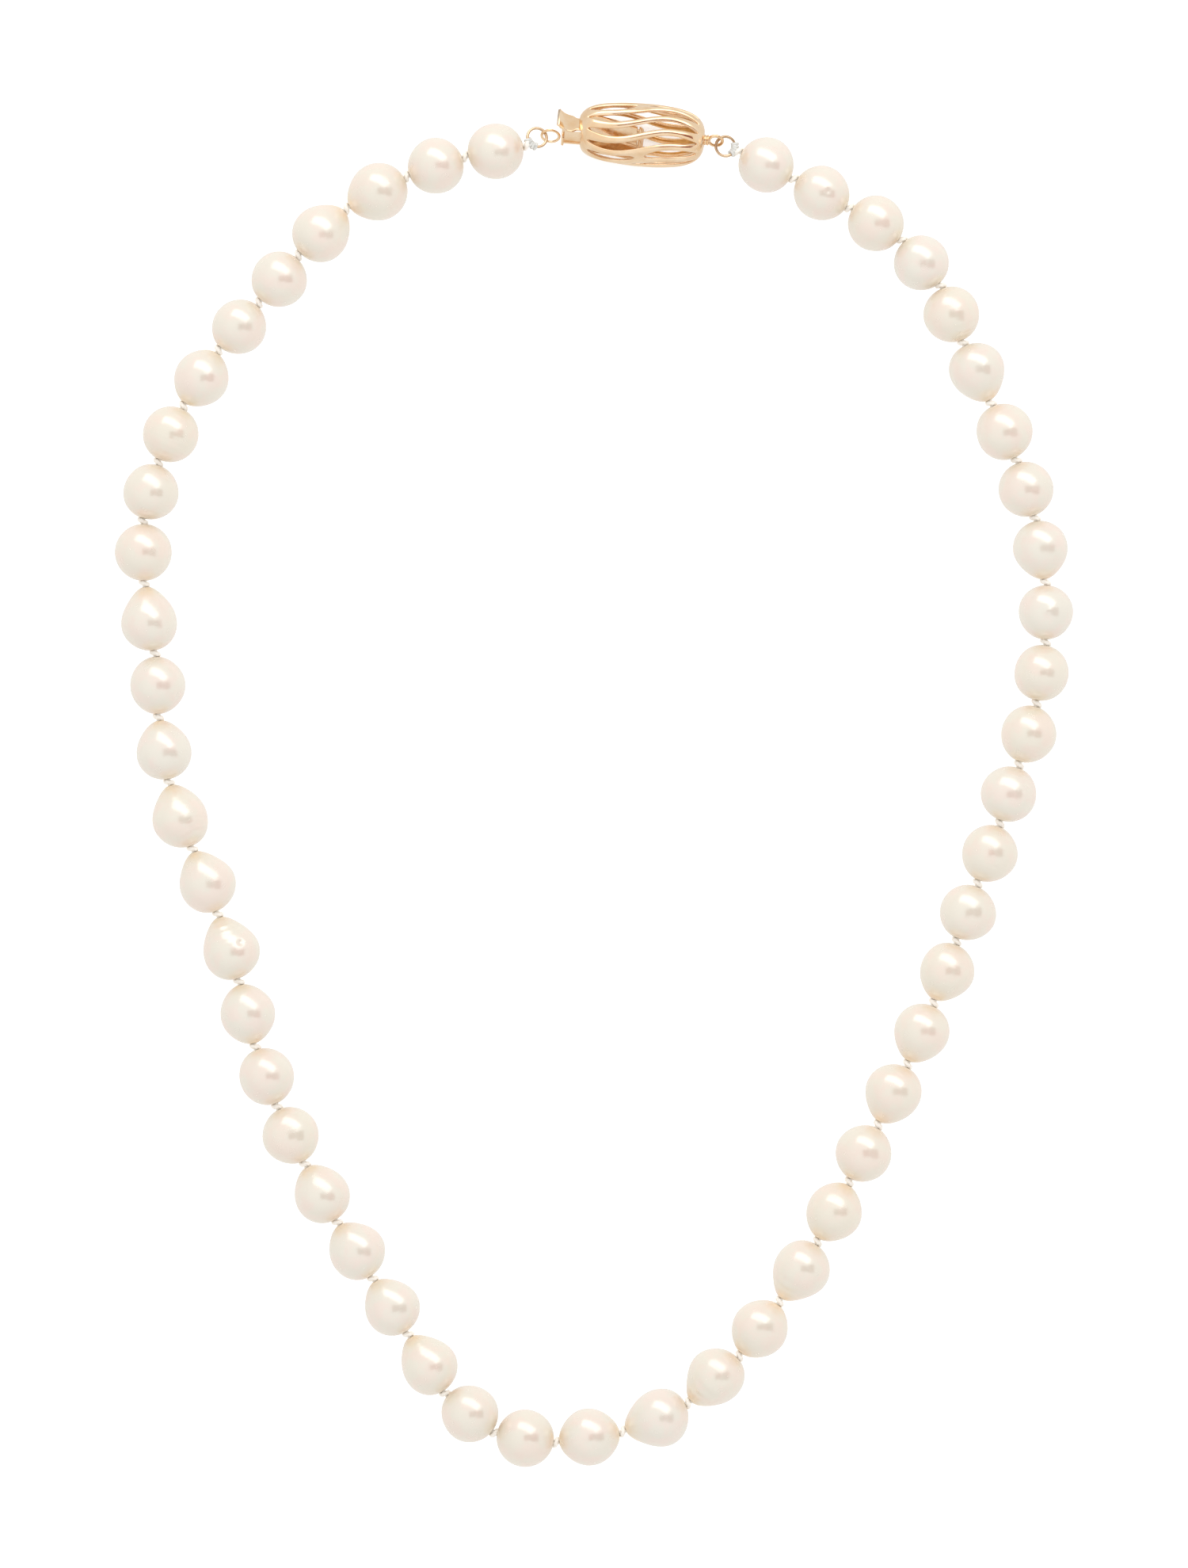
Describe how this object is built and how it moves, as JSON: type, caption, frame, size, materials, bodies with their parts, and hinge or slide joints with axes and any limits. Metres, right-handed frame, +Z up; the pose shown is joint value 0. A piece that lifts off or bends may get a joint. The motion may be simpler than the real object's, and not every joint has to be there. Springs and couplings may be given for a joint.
{
  "type": "pearl necklace",
  "caption": "Knotted single-strand pearl necklace with off-round pearls, jump rings and an openwork barrel box clasp with a folded spring tongue.",
  "frame": {"origin": "on the surface that the necklace lies on, at the centre of its bounding box", "axes": "+Z up from that surface, +Y along the closed loop towards the clasp, +X towards the case's end of the clasp"},
  "size_m": [0.1206, 0.172, 0.008],
  "materials": {
    "nacre": "cream nacre with a rose overtone and a soft, deep lustre, faint growth rings and a few pits",
    "gold": "polished pale yellow gold alloy, deeper orange inside the case",
    "silk": "twisted off-white silk, knotted, slightly greyed at the bindings"
  },
  "bodies": {
    "pearl_01": {"pearl_01": "nacre"},
    "pearl_02": {"pearl_02": "nacre"},
    "pearl_03": {"pearl_03": "nacre"},
    "pearl_04": {"pearl_04": "nacre"},
    "pearl_05": {"pearl_05": "nacre"},
    "pearl_06": {"pearl_06": "nacre"},
    "pearl_07": {"pearl_07": "nacre"},
    "pearl_08": {"pearl_08": "nacre"},
    "pearl_09": {"pearl_09": "nacre"},
    "pearl_10": {"pearl_10": "nacre"},
    "pearl_11": {"pearl_11": "nacre"},
    "pearl_12": {"pearl_12": "nacre"},
    "pearl_13": {"pearl_13": "nacre"},
    "pearl_14": {"pearl_14": "nacre"},
    "pearl_15": {"pearl_15": "nacre"},
    "pearl_16": {"pearl_16": "nacre"},
    "pearl_17": {"pearl_17": "nacre"},
    "pearl_18": {"pearl_18": "nacre"},
    "pearl_19": {"pearl_19": "nacre"},
    "pearl_20": {"pearl_20": "nacre"},
    "pearl_21": {"pearl_21": "nacre"},
    "pearl_22": {"pearl_22": "nacre"},
    "pearl_23": {"pearl_23": "nacre"},
    "pearl_24": {"pearl_24": "nacre"},
    "pearl_25": {"pearl_25": "nacre", "silk_thread": "silk"},
    "pearl_26": {"pearl_26": "nacre"},
    "pearl_27": {"pearl_27": "nacre"},
    "pearl_28": {"pearl_28": "nacre"},
    "pearl_29": {"pearl_29": "nacre"},
    "pearl_30": {"pearl_30": "nacre"},
    "pearl_31": {"pearl_31": "nacre"},
    "pearl_32": {"pearl_32": "nacre"},
    "pearl_33": {"pearl_33": "nacre"},
    "pearl_34": {"pearl_34": "nacre"},
    "pearl_35": {"pearl_35": "nacre"},
    "pearl_36": {"pearl_36": "nacre"},
    "pearl_37": {"pearl_37": "nacre"},
    "pearl_38": {"pearl_38": "nacre"},
    "pearl_39": {"pearl_39": "nacre"},
    "pearl_40": {"pearl_40": "nacre"},
    "pearl_41": {"pearl_41": "nacre"},
    "pearl_42": {"pearl_42": "nacre"},
    "pearl_43": {"pearl_43": "nacre"},
    "pearl_44": {"pearl_44": "nacre"},
    "pearl_45": {"pearl_45": "nacre"},
    "pearl_46": {"pearl_46": "nacre"},
    "pearl_47": {"pearl_47": "nacre"},
    "pearl_48": {"pearl_48": "nacre"},
    "pearl_49": {"pearl_49": "nacre"},
    "pearl_50": {"pearl_50": "nacre"},
    "left_link": {"jump_ring_left": "gold", "end_binding_left": "silk"},
    "tongue": {"tongue_plate": "gold", "tongue_ring": "gold"},
    "spring": {"spring_leaf": "gold"},
    "right_link": {"jump_ring_right": "gold", "end_binding_right": "silk"},
    "case": {"clasp_case": "gold", "case_ring": "gold"}
  },
  "joints": [
    {"name": "strand_open", "type": "hinge", "parent": "pearl_25", "child": "pearl_26", "pos_m": [-0.0048, -0.08312, 0.0036], "axis": [0, 0, -1], "range_deg": [0, 13], "deforming": ["silk_thread"]},
    {"name": "knot_26", "type": "hinge", "parent": "pearl_26", "child": "pearl_27", "pos_m": [0.00363, -0.08177, 0.0036], "axis": [0, 0, -1], "range_deg": [0, 11.84]},
    {"name": "knot_27", "type": "hinge", "parent": "pearl_27", "child": "pearl_28", "pos_m": [0.0119, -0.07817, 0.0036], "axis": [0, 0, -1], "range_deg": [0, 10.07]},
    {"name": "knot_28", "type": "hinge", "parent": "pearl_28", "child": "pearl_29", "pos_m": [0.01839, -0.07221, 0.0036], "axis": [0, 0, -1], "range_deg": [0, 8.05]},
    {"name": "knot_29", "type": "hinge", "parent": "pearl_29", "child": "pearl_30", "pos_m": [0.02346, -0.06533, 0.0036], "axis": [0, 0, -1], "range_deg": [0, 6.06]},
    {"name": "knot_30", "type": "hinge", "parent": "pearl_30", "child": "pearl_31", "pos_m": [0.02822, -0.05777, 0.0036], "axis": [0, 0, -1], "range_deg": [0, 4.49]},
    {"name": "knot_31", "type": "hinge", "parent": "pearl_31", "child": "pearl_32", "pos_m": [0.03223, -0.05022, 0.0036], "axis": [0, 0, -1], "range_deg": [0, 3.53]},
    {"name": "knot_32", "type": "hinge", "parent": "pearl_32", "child": "pearl_33", "pos_m": [0.03588, -0.04303, 0.0036], "axis": [0, 0, -1], "range_deg": [0, 3.08]},
    {"name": "knot_33", "type": "hinge", "parent": "pearl_33", "child": "pearl_34", "pos_m": [0.0396, -0.03538, 0.0036], "axis": [0, 0, -1], "range_deg": [0, 2.9]},
    {"name": "knot_34", "type": "hinge", "parent": "pearl_34", "child": "pearl_35", "pos_m": [0.04291, -0.02765, 0.0036], "axis": [0, 0, -1], "range_deg": [0, 2.74]},
    {"name": "knot_35", "type": "hinge", "parent": "pearl_35", "child": "pearl_36", "pos_m": [0.04578, -0.01986, 0.0036], "axis": [0, 0, -1], "range_deg": [0, 2.6]},
    {"name": "knot_36", "type": "hinge", "parent": "pearl_36", "child": "pearl_37", "pos_m": [0.04845, -0.01255, 0.0036], "axis": [0, 0, -1], "range_deg": [0, 2.65]},
    {"name": "knot_37", "type": "hinge", "parent": "pearl_37", "child": "pearl_38", "pos_m": [0.05124, -0.00497, 0.0036], "axis": [0, 0, -1], "range_deg": [0, 3.08]},
    {"name": "knot_38", "type": "hinge", "parent": "pearl_38", "child": "pearl_39", "pos_m": [0.05366, 0.00243, 0.0036], "axis": [0, 0, -1], "range_deg": [0, 3.86]},
    {"name": "knot_39", "type": "hinge", "parent": "pearl_39", "child": "pearl_40", "pos_m": [0.0559, 0.01018, 0.0036], "axis": [0, 0, -1], "range_deg": [0, 4.75]},
    {"name": "knot_40", "type": "hinge", "parent": "pearl_40", "child": "pearl_41", "pos_m": [0.05704, 0.01787, 0.0036], "axis": [0, 0, -1], "range_deg": [0, 5.43]},
    {"name": "knot_41", "type": "hinge", "parent": "pearl_41", "child": "pearl_42", "pos_m": [0.05704, 0.02545, 0.0036], "axis": [0, 0, -1], "range_deg": [0, 5.63]},
    {"name": "knot_42", "type": "hinge", "parent": "pearl_42", "child": "pearl_43", "pos_m": [0.05573, 0.03354, 0.0036], "axis": [0, 0, -1], "range_deg": [0, 5.28]},
    {"name": "knot_43", "type": "hinge", "parent": "pearl_43", "child": "pearl_44", "pos_m": [0.05336, 0.04085, 0.0036], "axis": [0, 0, -1], "range_deg": [0, 4.68]},
    {"name": "knot_44", "type": "hinge", "parent": "pearl_44", "child": "pearl_45", "pos_m": [0.05013, 0.04804, 0.0036], "axis": [0, 0, -1], "range_deg": [0, 4.51]},
    {"name": "knot_45", "type": "hinge", "parent": "pearl_45", "child": "pearl_46", "pos_m": [0.0466, 0.05567, 0.0036], "axis": [0, 0, -1], "range_deg": [0, 5.3]},
    {"name": "knot_46", "type": "hinge", "parent": "pearl_46", "child": "pearl_47", "pos_m": [0.0438, 0.06292, 0.0036], "axis": [0, 0, -1], "range_deg": [0, 6.52]},
    {"name": "knot_47", "type": "hinge", "parent": "pearl_47", "child": "pearl_48", "pos_m": [0.03894, 0.06871, 0.0036], "axis": [0, 0, -1], "range_deg": [0, 7.04]},
    {"name": "knot_48", "type": "hinge", "parent": "pearl_48", "child": "pearl_49", "pos_m": [0.03228, 0.07272, 0.0036], "axis": [0, 0, -1], "range_deg": [0, 6.51]},
    {"name": "knot_49", "type": "hinge", "parent": "pearl_49", "child": "pearl_50", "pos_m": [0.02521, 0.0764, 0.0036], "axis": [0, 0, -1], "range_deg": [0, 5.46]},
    {"name": "knot_50", "type": "hinge", "parent": "pearl_50", "child": "right_link", "pos_m": [0.01774, 0.08008, 0.0036], "axis": [0, 0, -1], "range_deg": [0, 7.8]},
    {"name": "case_ring_link", "type": "hinge", "parent": "right_link", "child": "case", "pos_m": [0.01586, 0.08106, 0.0039], "axis": [0, 0, -1], "range_deg": [0, 7.8]},
    {"name": "knot_24", "type": "hinge", "parent": "pearl_25", "child": "pearl_24", "pos_m": [-0.01256, -0.08195, 0.0036], "axis": [0, 0, 1], "range_deg": [0, 12.79]},
    {"name": "knot_23", "type": "hinge", "parent": "pearl_24", "child": "pearl_23", "pos_m": [-0.01883, -0.07694, 0.0036], "axis": [0, 0, 1], "range_deg": [0, 10.7]},
    {"name": "knot_22", "type": "hinge", "parent": "pearl_23", "child": "pearl_22", "pos_m": [-0.02347, -0.06944, 0.0036], "axis": [0, 0, 1], "range_deg": [0, 7.65]},
    {"name": "knot_21", "type": "hinge", "parent": "pearl_22", "child": "pearl_21", "pos_m": [-0.02792, -0.06243, 0.0036], "axis": [0, 0, 1], "range_deg": [0, 5.31]},
    {"name": "knot_20", "type": "hinge", "parent": "pearl_21", "child": "pearl_20", "pos_m": [-0.0324, -0.05531, 0.0036], "axis": [0, 0, 1], "range_deg": [0, 4.42]},
    {"name": "knot_19", "type": "hinge", "parent": "pearl_20", "child": "pearl_19", "pos_m": [-0.03648, -0.04797, 0.0036], "axis": [0, 0, 1], "range_deg": [0, 4.41]},
    {"name": "knot_18", "type": "hinge", "parent": "pearl_19", "child": "pearl_18", "pos_m": [-0.04001, -0.04071, 0.0036], "axis": [0, 0, 1], "range_deg": [0, 4.34]},
    {"name": "knot_17", "type": "hinge", "parent": "pearl_18", "child": "pearl_17", "pos_m": [-0.04279, -0.03314, 0.0036], "axis": [0, 0, 1], "range_deg": [0, 3.75]},
    {"name": "knot_16", "type": "hinge", "parent": "pearl_17", "child": "pearl_16", "pos_m": [-0.04481, -0.02494, 0.0036], "axis": [0, 0, 1], "range_deg": [0, 3.03]},
    {"name": "knot_15", "type": "hinge", "parent": "pearl_16", "child": "pearl_15", "pos_m": [-0.04748, -0.01641, 0.0036], "axis": [0, 0, 1], "range_deg": [0, 3]},
    {"name": "knot_14", "type": "hinge", "parent": "pearl_15", "child": "pearl_14", "pos_m": [-0.05068, -0.00818, 0.0036], "axis": [0, 0, 1], "range_deg": [0, 3.81]},
    {"name": "knot_13", "type": "hinge", "parent": "pearl_14", "child": "pearl_13", "pos_m": [-0.05369, 0.00023, 0.0036], "axis": [0, 0, 1], "range_deg": [0, 4.68]},
    {"name": "knot_12", "type": "hinge", "parent": "pearl_13", "child": "pearl_12", "pos_m": [-0.055, 0.00842, 0.0036], "axis": [0, 0, 1], "range_deg": [0, 5.06]},
    {"name": "knot_11", "type": "hinge", "parent": "pearl_12", "child": "pearl_11", "pos_m": [-0.05538, 0.01648, 0.0036], "axis": [0, 0, 1], "range_deg": [0, 5.55]},
    {"name": "knot_10", "type": "hinge", "parent": "pearl_11", "child": "pearl_10", "pos_m": [-0.05678, 0.0253, 0.0036], "axis": [0, 0, 1], "range_deg": [0, 6.72]},
    {"name": "knot_09", "type": "hinge", "parent": "pearl_10", "child": "pearl_09", "pos_m": [-0.057, 0.03318, 0.0036], "axis": [0, 0, 1], "range_deg": [0, 7.95]},
    {"name": "knot_08", "type": "hinge", "parent": "pearl_09", "child": "pearl_08", "pos_m": [-0.05503, 0.04059, 0.0036], "axis": [0, 0, 1], "range_deg": [0, 8.28]},
    {"name": "knot_07", "type": "hinge", "parent": "pearl_08", "child": "pearl_07", "pos_m": [-0.05186, 0.0477, 0.0036], "axis": [0, 0, 1], "range_deg": [0, 7.65]},
    {"name": "knot_06", "type": "hinge", "parent": "pearl_07", "child": "pearl_06", "pos_m": [-0.04743, 0.05476, 0.0036], "axis": [0, 0, 1], "range_deg": [0, 6.8]},
    {"name": "knot_05", "type": "hinge", "parent": "pearl_06", "child": "pearl_05", "pos_m": [-0.04232, 0.06074, 0.0036], "axis": [0, 0, 1], "range_deg": [0, 6.54]},
    {"name": "knot_04", "type": "hinge", "parent": "pearl_05", "child": "pearl_04", "pos_m": [-0.03734, 0.06673, 0.0036], "axis": [0, 0, 1], "range_deg": [0, 7.09]},
    {"name": "knot_03", "type": "hinge", "parent": "pearl_04", "child": "pearl_03", "pos_m": [-0.03125, 0.07264, 0.0036], "axis": [0, 0, 1], "range_deg": [0, 7.85]},
    {"name": "knot_02", "type": "hinge", "parent": "pearl_03", "child": "pearl_02", "pos_m": [-0.02366, 0.07668, 0.0036], "axis": [0, 0, 1], "range_deg": [0, 8.16]},
    {"name": "knot_01", "type": "hinge", "parent": "pearl_02", "child": "pearl_01", "pos_m": [-0.01629, 0.07919, 0.0036], "axis": [0, 0, 1], "range_deg": [0, 8]},
    {"name": "knot_00", "type": "hinge", "parent": "pearl_01", "child": "left_link", "pos_m": [-0.00798, 0.08076, 0.0036], "axis": [0, 0, 1], "range_deg": [0, 7.8]},
    {"name": "tongue_ring_link", "type": "hinge", "parent": "left_link", "child": "tongue", "pos_m": [-0.00629, 0.08185, 0.00304], "axis": [0, 0, 1], "range_deg": [0, 7.8]},
    {"name": "leaf_press", "type": "hinge", "parent": "tongue", "child": "spring", "pos_m": [0.00583, 0.08126, 0.00323], "axis": [-0.0609, -0.7636, 0.6428], "range_deg": [0, 6], "stiffness_Nm_per_rad": 0.002}
  ],
  "couplings": [
    {"joint": "knot_26", "follows": "strand_open", "ratio": 0.9108},
    {"joint": "knot_27", "follows": "strand_open", "ratio": 0.7745},
    {"joint": "knot_28", "follows": "strand_open", "ratio": 0.619},
    {"joint": "knot_29", "follows": "strand_open", "ratio": 0.4663},
    {"joint": "knot_30", "follows": "strand_open", "ratio": 0.3453},
    {"joint": "knot_31", "follows": "strand_open", "ratio": 0.2712},
    {"joint": "knot_32", "follows": "strand_open", "ratio": 0.2368},
    {"joint": "knot_33", "follows": "strand_open", "ratio": 0.2228},
    {"joint": "knot_34", "follows": "strand_open", "ratio": 0.2109},
    {"joint": "knot_35", "follows": "strand_open", "ratio": 0.1996},
    {"joint": "knot_36", "follows": "strand_open", "ratio": 0.204},
    {"joint": "knot_37", "follows": "strand_open", "ratio": 0.237},
    {"joint": "knot_38", "follows": "strand_open", "ratio": 0.2968},
    {"joint": "knot_39", "follows": "strand_open", "ratio": 0.3653},
    {"joint": "knot_40", "follows": "strand_open", "ratio": 0.4175},
    {"joint": "knot_41", "follows": "strand_open", "ratio": 0.4327},
    {"joint": "knot_42", "follows": "strand_open", "ratio": 0.406},
    {"joint": "knot_43", "follows": "strand_open", "ratio": 0.3597},
    {"joint": "knot_44", "follows": "strand_open", "ratio": 0.3471},
    {"joint": "knot_45", "follows": "strand_open", "ratio": 0.4079},
    {"joint": "knot_46", "follows": "strand_open", "ratio": 0.5012},
    {"joint": "knot_47", "follows": "strand_open", "ratio": 0.5418},
    {"joint": "knot_48", "follows": "strand_open", "ratio": 0.5006},
    {"joint": "knot_49", "follows": "strand_open", "ratio": 0.4196},
    {"joint": "knot_50", "follows": "strand_open", "ratio": 0.6},
    {"joint": "case_ring_link", "follows": "strand_open", "ratio": 0.6},
    {"joint": "knot_24", "follows": "strand_open", "ratio": 0.9837},
    {"joint": "knot_23", "follows": "strand_open", "ratio": 0.8233},
    {"joint": "knot_22", "follows": "strand_open", "ratio": 0.5882},
    {"joint": "knot_21", "follows": "strand_open", "ratio": 0.4085},
    {"joint": "knot_20", "follows": "strand_open", "ratio": 0.34},
    {"joint": "knot_19", "follows": "strand_open", "ratio": 0.3395},
    {"joint": "knot_18", "follows": "strand_open", "ratio": 0.3341},
    {"joint": "knot_17", "follows": "strand_open", "ratio": 0.2882},
    {"joint": "knot_16", "follows": "strand_open", "ratio": 0.2327},
    {"joint": "knot_15", "follows": "strand_open", "ratio": 0.2307},
    {"joint": "knot_14", "follows": "strand_open", "ratio": 0.2931},
    {"joint": "knot_13", "follows": "strand_open", "ratio": 0.3596},
    {"joint": "knot_12", "follows": "strand_open", "ratio": 0.3895},
    {"joint": "knot_11", "follows": "strand_open", "ratio": 0.427},
    {"joint": "knot_10", "follows": "strand_open", "ratio": 0.517},
    {"joint": "knot_09", "follows": "strand_open", "ratio": 0.6117},
    {"joint": "knot_08", "follows": "strand_open", "ratio": 0.6366},
    {"joint": "knot_07", "follows": "strand_open", "ratio": 0.5883},
    {"joint": "knot_06", "follows": "strand_open", "ratio": 0.5229},
    {"joint": "knot_05", "follows": "strand_open", "ratio": 0.5028},
    {"joint": "knot_04", "follows": "strand_open", "ratio": 0.5452},
    {"joint": "knot_03", "follows": "strand_open", "ratio": 0.6038},
    {"joint": "knot_02", "follows": "strand_open", "ratio": 0.6277},
    {"joint": "knot_01", "follows": "strand_open", "ratio": 0.615},
    {"joint": "knot_00", "follows": "strand_open", "ratio": 0.6},
    {"joint": "tongue_ring_link", "follows": "strand_open", "ratio": 0.6}
  ]
}
